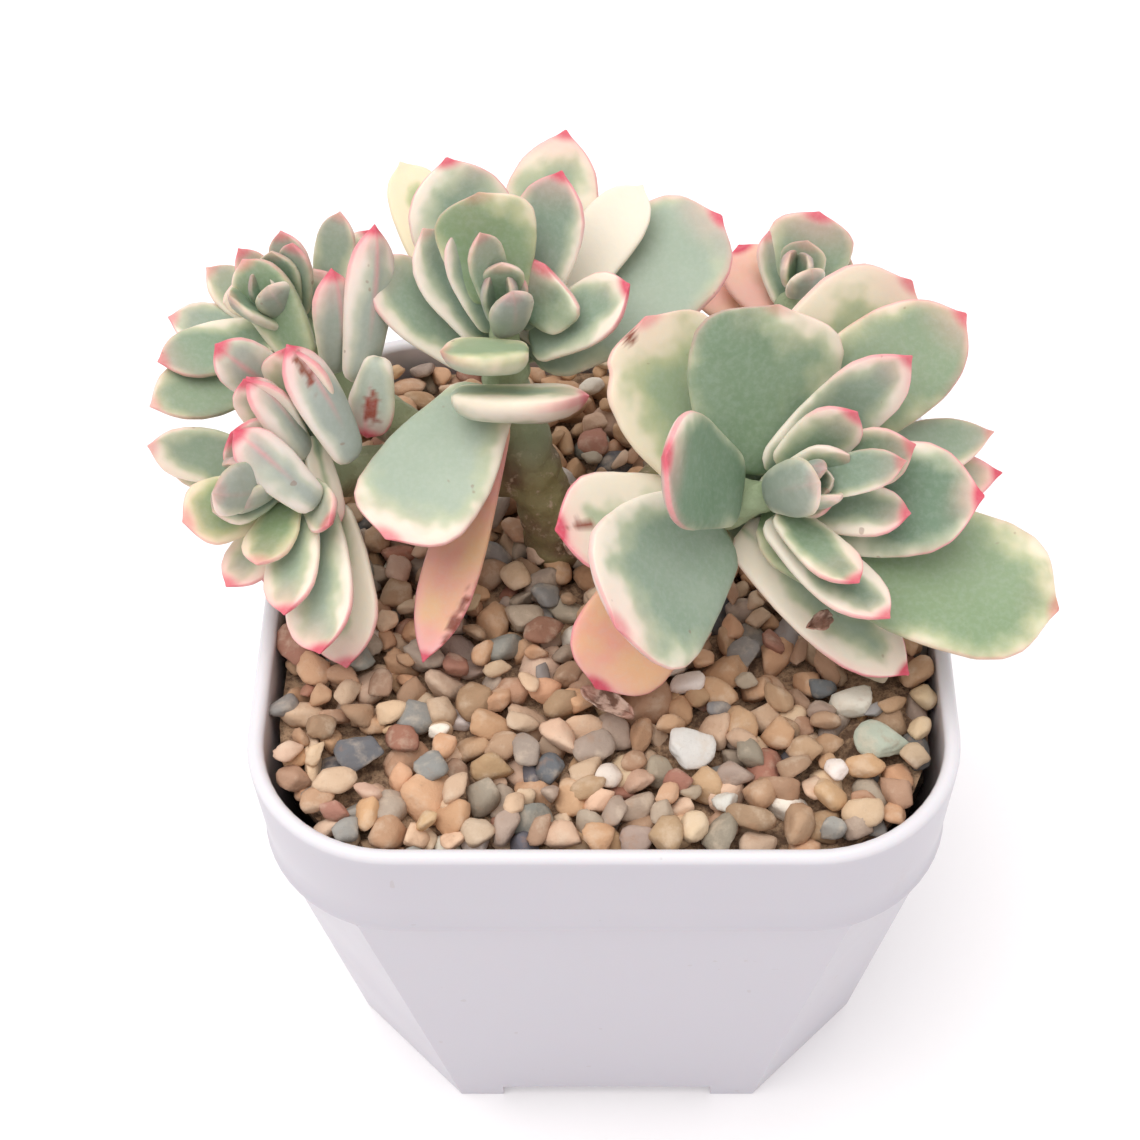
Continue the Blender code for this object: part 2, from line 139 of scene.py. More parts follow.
# Leaves of each rosette that the CAD part leaves out: turn, opening from the axis, distance below the growing
# point, length, width and twist
EXTRA_LEAVES = {
    "crown": (
        (132, 30, 3.5, 12.5, 5.0, 5),
        (140, 14, 0.0, 10.0, 3.5, 10),
        (95, 2, 0.0, 6.5, 3.5, 0),
        (52, 17, 0.5, 5.0, 3.0, -10),
    ),
    "right": (
        (333, 19, 1.5, 6.0, 3.5, -15),
        (29, 18, 0.0, 12.5, 3.5, 0),
        (32, 58, 5.5, 27.0, 6.0, 5),
        (351, 6, 0.0, 5.0, 2.5, -5),
    ),
    "low": (
        (346, 9, 0.0, 8.5, 4.5, 20),
        (236, 71, 7.5, 11.0, 5.5, 10),
        (318, 63, 5.5, 8.5, 4.0, 15),
        (156, 58, 7.0, 14.5, 5.0, -5),
    ),
    "upper": (
        (142, 54, 7.0, 12.5, 4.5, 5),
        (123, 36, 5.5, 10.5, 3.5, 0),
        (82, 31, 6.0, 11.0, 4.0, 0),
        (41, 24, 3.0, 9.0, 3.5, -20),
        (208, 66, 3.5, 14.5, 5.5, 20),
        (221, 65, 6.5, 18.0, 6.5, 30),
    ),
    "rear": (
        (46, 53, 6.0, 9.0, 5.0, -5),
        (115, 43, 5.0, 8.5, 3.5, 5),
        (124, 69, 6.5, 9.5, 7.0, 10),
    ),
}

# Leaves between the two left rosettes and the crown, which share no growing point: base, tip, the way the
# upper face looks, and width
SIDE_LEAVES = (
    ((-26.5, 11.0, 84.0), (-24.5, 20.5, 98.0), (-0.5, 1.0, 0.0), 5.4),
    ((-29.0, 12.5, 84.0), (-28.5, 16.5, 95.5), (-0.7, 1.0, 0.0), 4.9),
    ((-26.5, 1.5, 82.0), (-33.0, 7.5, 93.0), (-0.7, 0.5, -0.2), 5.4),
    ((-24.0, 11.3, 87.5), (-25.5, 6.4, 80.0), (0.3, 0.9, -0.4), 4.8),
    ((-31.5, 2.0, 82.0), (-37.0, 5.0, 91.0), (-0.8, 0.3, -0.3), 4.4),
    ((-30.0, -4.0, 81.0), (-38.2, -0.5, 88.5), (-0.5, 0.6, -0.5), 5.0),
    ((-33.0, 9.0, 83.0), (-40.5, 8.0, 92.5), (-0.4, 0.8, -0.3), 5.4),
    ((-30.8, 4.0, 83.0), (-28.4, -3.6, 76.5), (0.6, -0.2, 0.8), 3.6),
    ((-32.5, 13.0, 85.0), (-38.5, 19.5, 94.0), (-0.6, 0.2, 0.8), 7.0),
)

# Tiny leaves round each growing point, from the middle outwards: count, first and last opening, shortest and
# longest length, and least and most width
BUDS = {
    "crown": (3, 2, 12, 5.0, 8.0, 2.4, 3.8),
    "right": (5, 2, 17, 5.5, 10.0, 2.4, 4.6),
    "low": (5, 3, 20, 4.5, 7.5, 2.4, 4.2),
    "upper": (5, 3, 24, 4.5, 8.0, 2.4, 4.4),
    "rear": (4, 4, 22, 3.5, 6.0, 2.4, 4.0),
}

# ---- helpers

def mesh_object(name, points, faces, smooth=True):
    """A new object from points in millimetres."""
    mesh = bpy.data.meshes.new(name)
    mesh.from_pydata((np.asarray(points) * MM).tolist(), [], faces)
    mesh.polygons.foreach_set("use_smooth", [smooth] * len(mesh.polygons))
    mesh.update()
    obj = bpy.data.objects.new(name, mesh)
    bpy.context.collection.objects.link(obj)
    return obj


def set_attribute(obj, name, values):
    """Stores one number for each point of a mesh, which its material reads."""
    layer = obj.data.attributes.new(name, "FLOAT", "POINT")
    layer.data.foreach_set("value", np.asarray(values, dtype=np.float32))


def grid_faces(rows, columns):
    """Quads of a grid that closes on itself across its columns."""
    faces = []
    for start in range(0, (rows - 1) * columns, columns):
        for c in range(columns):
            d = (c + 1) % columns
            faces.append((start + c, start + d, start + columns + d, start + columns + c))
    return faces


def place(obj, slot, *nodes):
    """Ties a finished piece to the pot and hides the CAD nodes it stands for, if any; slot, the name of its
    finish, is not used.
    """
    if nodes:
        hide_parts(*nodes)
    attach(obj, "root")


def smooth_table(table, share):
    """Values along a short table with its corners rounded off."""
    fine = np.linspace(-0.2, 1.2, 561)
    rough = np.interp(fine, [s for s, _ in table], [v for _, v in table])
    window = np.exp(-np.linspace(-2, 2, 17) ** 2)
    soft = np.convolve(np.pad(rough, 8, mode="edge"), window / window.sum(), mode="valid")
    keep = np.clip((1 - fine) / 0.03, 0, 1) * np.clip(fine / 0.02, 0, 1)
    return np.interp(share, fine, keep * soft + (1 - keep) * rough)


def wobble(values, seed, scale=1.0):
    """Smooth random numbers from -1 to 1 along a line."""
    spots = [Vector((v * scale, seed * 7.31, seed * 3.17)) for v in np.atleast_1d(values)]
    return np.array([noise.noise(spot) for spot in spots])


# ---- materials

class Nodes:
    """Small helper for building one material's node tree."""

    def __init__(self, name):
        self.material = bpy.data.materials.new(name)
        self.material.use_nodes = True
        self.tree = self.material.node_tree
        self.shader = self.tree.nodes["Principled BSDF"]

    def add(self, kind, **values):
        node = self.tree.nodes.new("ShaderNode" + kind)
        for key, value in values.items():
            setattr(node, key, value)
        return node

    def link(self, source, target):
        self.tree.links.new(source, target)

    def fill(self, socket, value):
        """Sets a socket to a number, a vector or a colour, or links it to another one."""
        if isinstance(value, (int, float)):
            socket.default_value = value
        elif isinstance(value, tuple):
            socket.default_value = value if socket.type == "VECTOR" else (*value, 1.0)
        else:
            self.link(value, socket)

    def attribute(self, name):
        return self.add("Attribute", attribute_name=name).outputs["Fac"]

    def coordinates(self):
        return self.add("TexCoord").outputs["Object"]

    def noise(self, scale, detail, roughness):
        node = self.add("TexNoise")
        node.inputs["Scale"].default_value = scale
        node.inputs["Detail"].default_value = detail
        node.inputs["Roughness"].default_value = roughness
        self.link(self.coordinates(), node.inputs["Vector"])
        return node.outputs["Fac"]

    def math(self, operation, a, b, clamp):
        node = self.add("Math", operation=operation, use_clamp=clamp)
        for socket, value in zip(node.inputs, (a, b)):
            self.fill(socket, value)
        return node.outputs[0]

    def plus(self, a, b, clamp=False):
        return self.math("ADD", a, b, clamp)

    def minus(self, a, b):
        return self.math("SUBTRACT", a, b, False)

    def times(self, a, b, clamp=False):
        return self.math("MULTIPLY", a, b, clamp)

    def ramp(self, value, low, high):
        """0 at low, 1 at high, smooth between; low may be above high."""
        node = self.add("MapRange", interpolation_type="SMOOTHSTEP")
        node.inputs["From Min"].default_value = min(low, high)
        node.inputs["From Max"].default_value = max(low, high)
        if low > high:
            node.inputs["To Min"].default_value = 1.0
            node.inputs["To Max"].default_value = 0.0
        self.link(value, node.inputs["Value"])
        return node.outputs["Result"]

    def mix(self, share, a, b):
        node = self.add("Mix", data_type="RGBA")
        for number, value in ((0, share), (6, a), (7, b)):
            self.fill(node.inputs[number], value)
        return node.outputs[2]

    def bump(self, height, strength, distance):
        node = self.add("Bump")
        node.inputs["Strength"].default_value = strength
        node.inputs["Distance"].default_value = distance
        self.link(height, node.inputs["Height"])
        self.link(node.outputs["Normal"], self.shader.inputs["Normal"])

    def set(self, **values):
        for key, value in values.items():
            self.fill(self.shader.inputs[key.replace("_", " ")], value)


# Leaf colours
DEEP_GREEN = (0.150, 0.240, 0.160)
PALE_GREEN = (0.465, 0.530, 0.450)
YELLOW_GREEN = (0.320, 0.430, 0.150)
LIME = (0.500, 0.550, 0.390)
WARM_LIME = (0.590, 0.590, 0.290)
CREAM = (0.870, 0.790, 0.680)
WARM_CREAM = (0.850, 0.750, 0.500)
UNDERSIDE = (0.640, 0.560, 0.620)
PEACH_RED = (0.890, 0.320, 0.320)
PEACH_GOLD = (0.900, 0.520, 0.290)
WASH_PINK = (0.850, 0.430, 0.420)
LINE_PINK = (0.790, 0.280, 0.310)
CRIMSON = (0.640, 0.080, 0.130)
SPECK = (0.260, 0.130, 0.090)
FRESH_SCAR = (0.330, 0.050, 0.040)
OLD_SCAR = (0.200, 0.085, 0.040)
BLOOM = (0.700, 0.730, 0.720)


def leaf_ground(n, blotch, cloud, streak):
    """Green heart, lime and cream border, paler underside, and the peach of an old leaf."""
    warm = n.attribute("warm")
    # how far inside the cream border a point is, made uneven
    uneven = n.plus(n.attribute("edge"), n.times(n.minus(blotch, 0.5), 1.9))
    uneven = n.plus(uneven, n.times(n.minus(streak, 0.5), 0.20))
    near_tip = n.times(n.ramp(n.attribute("tip"), 10.0, 1.0), n.attribute("tip_cream"))
    lopsided = n.times(n.attribute("side"), n.attribute("bias"))
    reach = n.plus(n.plus(n.attribute("cream"), near_tip), lopsided)
    inside = n.plus(n.minus(uneven, reach), 0.13)
    paleness = n.plus(n.attribute("pale"), n.times(n.minus(cloud, 0.5), 0.7), clamp=True)
    green = n.mix(paleness, DEEP_GREEN, PALE_GREEN)
    green = n.mix(n.times(warm, 0.7), green, YELLOW_GREEN)
    lime = n.mix(warm, LIME, WARM_LIME)
    cream = n.mix(warm, CREAM, WARM_CREAM)
    colour = n.mix(n.ramp(inside, -0.22, 0.16), cream, lime)
    colour = n.mix(n.ramp(inside, -0.04, 0.50), colour, green)
    colour = n.mix(n.times(n.attribute("under"), 0.26), colour, UNDERSIDE)
    peach = n.mix(n.ramp(blotch, 0.35, 0.62), PEACH_RED, PEACH_GOLD)
    return n.mix(n.attribute("peach"), colour, peach)


def leaf_blush(n, colour, cloud):
    """A pink wash from the outer rim and the point, a line along rim and keel, and a crimson point."""
    rim = n.attribute("rim")
    tip = n.attribute("tip")
    blush = n.attribute("blush")
    outer = n.plus(0.06, n.times(n.ramp(n.attribute("along"), 0.45, 0.92), 1.04))
    wash = n.times(n.times(n.ramp(rim, 1.7, 0.0), 0.42), outer)
    wash = n.plus(wash, n.times(n.ramp(tip, 5.5, 0.4), 0.48))
    wash = n.times(wash, n.ramp(cloud, 0.28, 0.60))
    colour = n.mix(n.times(wash, blush, clamp=True), colour, WASH_PINK)
    line = n.times(n.ramp(rim, 0.38, 0.05), outer)
    line = n.times(n.times(line, blush), 0.75, clamp=True)
    colour = n.mix(line, colour, LINE_PINK)
    ridge = n.times(n.attribute("ridge"), n.times(blush, 0.45), clamp=True)
    colour = n.mix(ridge, colour, LINE_PINK)
    point = n.times(n.ramp(tip, 1.7, 0.5), n.times(blush, 0.95), clamp=True)
    return n.mix(point, colour, CRIMSON)


def leaf_wear(n, colour, scar, streak, fine):
    """The odd dark speck, corky scars and a thin pale bloom."""
    speck = n.ramp(n.noise(620.0, 1.0, 0.4), 0.775, 0.81)
    colour = n.mix(n.times(speck, 0.45), colour, SPECK)
    colour = n.mix(scar, colour, n.mix(streak, FRESH_SCAR, OLD_SCAR))
    return n.mix(n.times(n.ramp(fine, 0.35, 0.75), 0.10), colour, BLOOM)


def leaf_material():
    """Waxy variegated skin that reads the marks of each leaf."""
    n = Nodes("leaf_skin")
    blotch = n.noise(105.0, 3.0, 0.5)
    cloud = n.noise(90.0, 2.0, 0.5)
    fine = n.noise(1600.0, 3.0, 0.6)
    streak = n.noise(420.0, 2.0, 0.5)
    scar = n.attribute("scar")
    colour = leaf_ground(n, blotch, cloud, streak)
    colour = leaf_blush(n, colour, cloud)
    colour = leaf_wear(n, colour, scar, streak, fine)
    n.set(
        Base_Color=colour,
        Roughness=n.ramp(fine, -0.8, 1.8),
        Subsurface_Weight=0.22,
        Subsurface_Scale=0.0014,
        Subsurface_Radius=(1.0, 0.6, 0.4),
        Specular_IOR_Level=0.36,
    )
    n.bump(n.plus(fine, n.times(scar, -1.5)), 0.22, 0.00012)
    return n.material


def dry_leaf_material():
    """Papery old leaf: pale pinkish brown with darker veins."""
    n = Nodes("dry_leaf")
    grain = n.noise(700.0, 4.0, 0.6)
    patch = n.noise(240.0, 2.0, 0.5)
    colour = n.mix(n.ramp(grain, 0.40, 0.62), (0.170, 0.085, 0.055), (0.560, 0.390, 0.310))
    colour = n.mix(n.times(n.ramp(patch, 0.45, 0.60), 0.5), colour, (0.480, 0.240, 0.180))
    n.set(Base_Color=colour, Roughness=0.75)
    n.bump(grain, 0.5, 0.0004)
    return n.material


def stem_material():
    """Brown bark with pale lenticels, still green and smooth inside the rosettes."""
    n = Nodes("stem_bark")
    long_grain = n.noise(160.0, 4.0, 0.6)
    fine = n.noise(900.0, 4.0, 0.65)
    colour = n.mix(n.ramp(long_grain, 0.38, 0.62), (0.150, 0.085, 0.045), (0.240, 0.205, 0.090))
    colour = n.mix(n.ramp(fine, 0.56, 0.72), colour, (0.42, 0.31, 0.22))
    split = n.add("SeparateXYZ")
    n.link(n.coordinates(), split.inputs[0])
    colour = n.mix(n.ramp(split.outputs["Z"], 0.073, 0.080), colour, (0.330, 0.400, 0.240))
    n.set(Base_Color=colour, Roughness=0.62)
    n.bump(n.plus(fine, n.times(long_grain, 2.0)), 0.6, 0.0005)
    return n.material


def stone_material():
    """Dry grit: each stone has its own colour, mottled and finely pitted."""
    n = Nodes("grit")
    tint = n.add("Attribute", attribute_name="tint").outputs["Color"]
    mottle = n.noise(420.0, 4.0, 0.6)
    fine = n.noise(2200.0, 4.0, 0.7)
    colour = n.mix(n.times(n.ramp(mottle, 0.48, 0.72), 0.40), tint, (0.74, 0.60, 0.46))
    colour = n.mix(n.times(n.ramp(mottle, 0.42, 0.28), 0.30), colour, (0.42, 0.22, 0.12))
    colour = n.mix(n.times(n.ramp(fine, 0.60, 0.74), 0.22), colour, (0.16, 0.11, 0.08))
    n.set(Base_Color=colour, Roughness=0.80)
    n.bump(n.plus(mottle, n.times(fine, 0.6)), 0.45, 0.0004)
    return n.material


def pot_material():
    """Moulded white plastic with a faint lilac cast, soft flow marks, rare specks and one rub, darkened to
    painted shade, with painted light on the top of the lip and a browner painted shade on the inner wall
    under the rim.
    """
    n = Nodes("pot_plastic")
    flow = n.noise(40.0, 3.0, 0.5)
    fine = n.noise(1800.0, 2.0, 0.6)
    # painted shade and light: the body is a darkened, shaded copy of the white plastic, and the top of the
    # lip is a near-white lit copy
    colour = n.mix(flow, (0.520, 0.500, 0.552), (0.575, 0.552, 0.602))
    colour = n.mix(n.attribute("lip"), colour, (0.800, 0.785, 0.815))
    speck = n.ramp(n.noise(900.0, 0.0, 0.4), 0.84, 0.87)
    colour = n.mix(n.times(speck, 0.30), colour, (0.42, 0.36, 0.34))
    rub = n.times(n.attribute("rub"), n.ramp(fine, 0.35, 0.60))
    colour = n.mix(rub, colour, (0.46, 0.28, 0.22))
    # painted shade: the inner wall under the rim is tinted browner, as shaded where the gravel meets it
    colour = n.mix(n.attribute("rim_wall_shade"), colour, (0.60, 0.50, 0.43))
    sheen = n.ramp(flow, -0.9, 2.6)
    n.set(Base_Color=colour, Roughness=sheen, Subsurface_Weight=0.08, Subsurface_Scale=0.002)
    n.bump(n.plus(n.times(fine, 0.4), flow), 0.10, 0.0002)
    return n.material


def mix_material():
    """Dark crumbly compost."""
    n = Nodes("compost")
    crumb = n.noise(500.0, 5.0, 0.7)
    colour = n.mix(n.ramp(crumb, 0.4, 0.65), (0.030, 0.020, 0.014), (0.16, 0.10, 0.06))
    n.set(Base_Color=colour, Roughness=0.95)
    n.bump(crumb, 0.9, 0.001)
    return n.material


def fines_material():
    """Sandy crumbs that show between the stones."""
    n = Nodes("grit_fines")
    crumb = n.noise(700.0, 5.0, 0.7)
    colour = n.mix(n.ramp(crumb, 0.38, 0.62), (0.170, 0.100, 0.060), (0.520, 0.340, 0.210))
    n.set(Base_Color=colour, Roughness=0.9)
    n.bump(crumb, 0.9, 0.001)
    return n.material


def floor_material():
    """White sweep paper, lit a little from behind so that it stays white under the pot's shadow."""
    n = Nodes("floor_paper")
    grain = n.noise(900.0, 3.0, 0.6)
    paper = n.mix(grain, (0.800, 0.785, 0.790), (0.815, 0.800, 0.805))
    n.set(Base_Color=paper, Roughness=0.9, Emission_Color=(1.0, 0.97, 0.98), Emission_Strength=FLOOR_GLOW)
    return n.material


# ---- leaves

def leaf_ends(spots):
    """Middle of the blunt end and the point of a leaf."""
    middle = spots.mean(0)
    _, _, ways = np.linalg.svd(spots - middle)
    reach = (spots - middle) @ ways[0]
    near_low = (reach < reach.min() + 0.02 * np.ptp(reach)).sum()
    near_high = (reach > reach.max() - 0.02 * np.ptp(reach)).sum()
    if near_low < near_high:
        reach = -reach
    base = spots[reach < reach.min() + 0.035 * np.ptp(reach)].mean(0)
    return base, spots[reach.argmax()]


def leaf_side(belt, heading):
    """The way a leaf spreads, from the points of its widest part."""
    across = belt - belt.mean(0)
    across -= np.outer(across @ heading, heading)
    _, _, ways = np.linalg.svd(across)
    sideways = ways[0] - heading * (ways[0] @ heading)
    return sideways / np.linalg.norm(sideways)


def leaf_from_node(node):
    """Base, tip, sideways and upward directions and width of a CAD leaf, in millimetres."""
    spots = {tuple(round(c / MM, 3) for c in v.co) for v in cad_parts[node].data.vertices}
    spots = np.array(sorted(spots))
    base, tip = leaf_ends(spots)
    length = np.linalg.norm(tip - base)
    heading = (tip - base) / length
    share = (spots - base) @ heading / length
    belt = (share > WIDEST[0]) & (share < WIDEST[1])
    sideways = leaf_side(spots[belt], heading)
    upward = np.cross(sideways, heading)
    place_across = (spots - base) @ sideways
    width = np.ptp(place_across)
    edge = np.abs(place_across) > 0.36 * width
    height = (spots - base) @ upward
    level = height[edge & belt].mean()
    # the keel bulges more than the channelled face, so it shows which way is up
    if height[belt].max() - level > level - height[belt].min():
        sideways, upward = -sideways, -upward
    return base, tip, sideways, upward, width


def leaf_from_row(rosette, row):
    """The same measures for a leaf given by its row in a rosette."""
    apex, towards, lean = HEADS[rosette]
    turn, opening, down, length, width, twist = row
    spin = Matrix.Rotation(math.radians(towards), 3, "Z")
    axes = spin @ Matrix.Rotation(math.radians(lean), 3, "Y") @ spin.transposed()
    outward = np.array(axes @ Vector((math.cos(math.radians(turn)), math.sin(math.radians(turn)), 0)))
    axis = np.array(axes @ Vector((0, 0, 1)))
    open_angle = math.radians(opening)
    base = np.array(apex) - axis * down + outward * (0.4 + 0.2 * down)
    heading = math.cos(open_angle) * axis + math.sin(open_angle) * outward
    upward = math.sin(open_angle) * axis - math.cos(open_angle) * outward
    sideways = np.cross(heading, upward)
    roll = math.radians(twist)
    rolled_side = math.cos(roll) * sideways + math.sin(roll) * upward
    rolled_up = math.cos(roll) * upward - math.sin(roll) * sideways
    return base, base + heading * length, rolled_side, rolled_up, width


def leaf_between(base, tip, facing, width):
    """The same measures for a leaf given by its two ends and the way its upper face looks."""
    base = np.array(base)
    tip = np.array(tip)
    heading = (tip - base) / np.linalg.norm(tip - base)
    upward = np.array(facing) - heading * (heading @ facing)
    upward /= np.linalg.norm(upward)
    return base, tip, np.cross(heading, upward), upward, width


class LeafShape:
    """The measures of one leaf: its frame, its half-width and thickness along it, and its small faults."""

    def __init__(self, measures, rng, looks):
        self.base, self.tip, self.sideways, self.upward, self.width = measures
        self.seed = rng.uniform(0, 40)
        self.length = np.linalg.norm(self.tip - self.base)
        self.heading = (self.tip - self.base) / self.length
        self.share = 1 - (1 - np.linspace(0, 1, ALONG_STEPS)) ** 1.25
        rounded = looks["round"]
        pointed_part = (1 - rounded) * smooth_table(POINTED, self.share)
        outline = pointed_part + rounded * smooth_table(ROUNDED, self.share)
        self.half = self.width / 2 * outline * looks["full"]
        self.thick = (1.0 + 0.175 * self.width) * looks["thick"] * smooth_table(BODY, self.share)
        self.sag = self.length * INCURVE / 2 * self.share * (1 - self.share)
        self.sway = 0.03 * self.length * wobble([self.seed], self.seed)[0] * self.share ** 2
        self.cup = rng.uniform(0.03, 0.10)
        self.keel = rng.uniform(0.5, 1.0)
        self.left = 1 + 0.06 * wobble(self.share, self.seed, 3.2)
        self.right = 1 + 0.06 * wobble(self.share, self.seed + 9, 3.2)
        self.ripple = 0.25 * wobble(self.share, self.seed + 5, 4.0)
        self.nick = looks.get("nick")

    def side_scale(self, i, across):
        scale = np.where(across > 0, self.right[i], self.left[i])
        if self.nick:
            place_along, side, depth = self.nick
            dent = depth * math.exp(-((self.share[i] - place_along) / 0.07) ** 2)
            scale = np.where(across * side > 0, scale * (1 - dent), scale)
        return scale

    def section(self, i, across, rise):
        """Sideways and upward offsets round the leaf at one step, and where its keel line runs."""
        x = across * self.half[i] * self.side_scale(i, across)
        above = self.thick[i] * (UPPER_FACE * np.abs(rise) ** 0.8 - CHANNEL * (1 - across ** 2) ** 1.5)
        below = -self.thick[i] * LOWER_FACE * np.abs(rise) ** 0.9
        z = np.where(rise > 0, above, below)
        grown = np.clip((self.share[i] - 0.25) / 0.4, 0, 1)
        ridge = np.exp(-(across / 0.16) ** 2) * (rise <= 0) * grown
        z = z - self.thick[i] * KEEL * self.keel * ridge
        wave = self.ripple[i] * 0.35 * across ** 3 * min(1, self.half[i] / 3)
        z = z + self.cup * self.half[i] * across ** 2 + wave
        line = np.exp(-(across / 0.07) ** 2) * (rise <= 0) * grown
        return x, z, line

    def centre(self, i):
        """Middle of the leaf at one step."""
        straight = self.base + self.heading * self.share[i] * self.length
        return straight - self.upward * self.sag[i] + self.sideways * self.sway[i]

    def marks(self, i, across, rise, x, line):
        """What the skin is coloured by, for each point round one step."""
        left_over = (1 - self.share[i]) * self.length
        from_side = self.half[i] * (1 - np.abs(across)) * 1.15 + np.abs(rise) * 0.10
        inward = np.minimum(1 - np.abs(across), 1.6 * left_over / self.width)
        return {
            "rim": np.minimum(from_side, left_over * 0.9),
            "edge": inward + 0.06 * (rise < 0),
            "tip": np.sqrt(left_over ** 2 + (0.6 * x) ** 2),
            "along": np.full(len(x), self.share[i]),
            "ridge": line,
            "side": across,
            "under": np.clip(-rise * 3, 0, 1),
        }


def leaf_faces():
    """Quads along the leaf and a fan over each end, for points in rings with the two end middles last."""
    faces = [tuple(reversed(face)) for face in grid_faces(ALONG_STEPS, AROUND_STEPS)]
    count = ALONG_STEPS * AROUND_STEPS
    last = count - AROUND_STEPS
    for c in range(AROUND_STEPS):
        d = (c + 1) % AROUND_STEPS
        faces.append((c, d, count))
        faces.append((last + d, last + c, count + 1))
    return faces


def grow_leaf(name, measures, rng, looks):
    """A dense spoon-shaped leaf with the marks that its skin is coloured by."""
    leaf = LeafShape(measures, rng, looks)
    around = np.linspace(0, 2 * math.pi, AROUND_STEPS, endpoint=False)
    across = np.cos(around)
    rise = np.sin(around)
    points = []
    marks = []
    for i in range(ALONG_STEPS):
        x, z, line = leaf.section(i, across, rise)
        points.append(leaf.centre(i) + np.outer(x, leaf.sideways) + np.outer(z, leaf.upward))
        marks.append(leaf.marks(i, across, rise, x, line))
    points = np.vstack([*points, points[0].mean(0), points[-1].mean(0)])
    obj = mesh_object(name, points, leaf_faces())
    for key in marks[0]:
        values = np.concatenate([ring[key] for ring in marks])
        set_attribute(obj, key, np.concatenate([values, [values[:AROUND_STEPS].mean(), values[-1]]]))
    for key in ("cream", "tip_cream", "bias", "pale", "blush", "warm", "peach"):
        set_attribute(obj, key, np.full(len(points), looks[key]))
    set_attribute(obj, "scar", scar_marks(points, leaf, across, rise, looks.get("scars", ())))
    return obj


def scar_marks(points, leaf, across, rise, scars):
    """How corky each point is. A scar is (share along, share across, face, length mm, width mm)."""
    values = np.zeros(len(points))
    count = len(leaf.share) * len(across)
    for along, sideways, face, long, wide in scars:
        wrong_face = 10 * (rise * face < -0.01)
        step = np.abs(leaf.share - along).argmin()
        spot = step * len(across) + np.abs(across - sideways + wrong_face).argmin()
        centre = points[spot]
        ahead = points[min(spot + len(across), count - 1)] - centre
        ahead /= max(np.linalg.norm(ahead), 1e-6)
        offset = points[:count] - centre
        lengthways = offset @ ahead
        sidewise = np.linalg.norm(offset - np.outer(lengthways, ahead), axis=1)
        rough = np.array([noise.noise(Vector(p * 1.3) + Vector((leaf.seed, 0, 0))) for p in points[:count]])
        amount = 1.25 - np.sqrt((lengthways / long) ** 2 + (sidewise / wide) ** 2) + 0.9 * rough
        values[:count] += np.clip(amount * 2.0, 0, 1)
    return np.clip(values, 0, 1)


def look(cream, blush, **more):
    """What sets one leaf apart from the run of the plant.

    cream is the share of the half-width that the pale border takes, blush the pinkness, tip_cream how far
    cream spreads from the tip, bias how much more of it one side has, pale the paleness of the heart, warm
    the yellowing, peach an old leaf's colour and round the bluntness of the end. full and thick are how many
    times wider and thicker the leaf is than its measures say. scars are as scar_marks takes them, and nick
    is a dent: share along, side and depth.
    """
    return {"cream": cream, "blush": blush, **more}


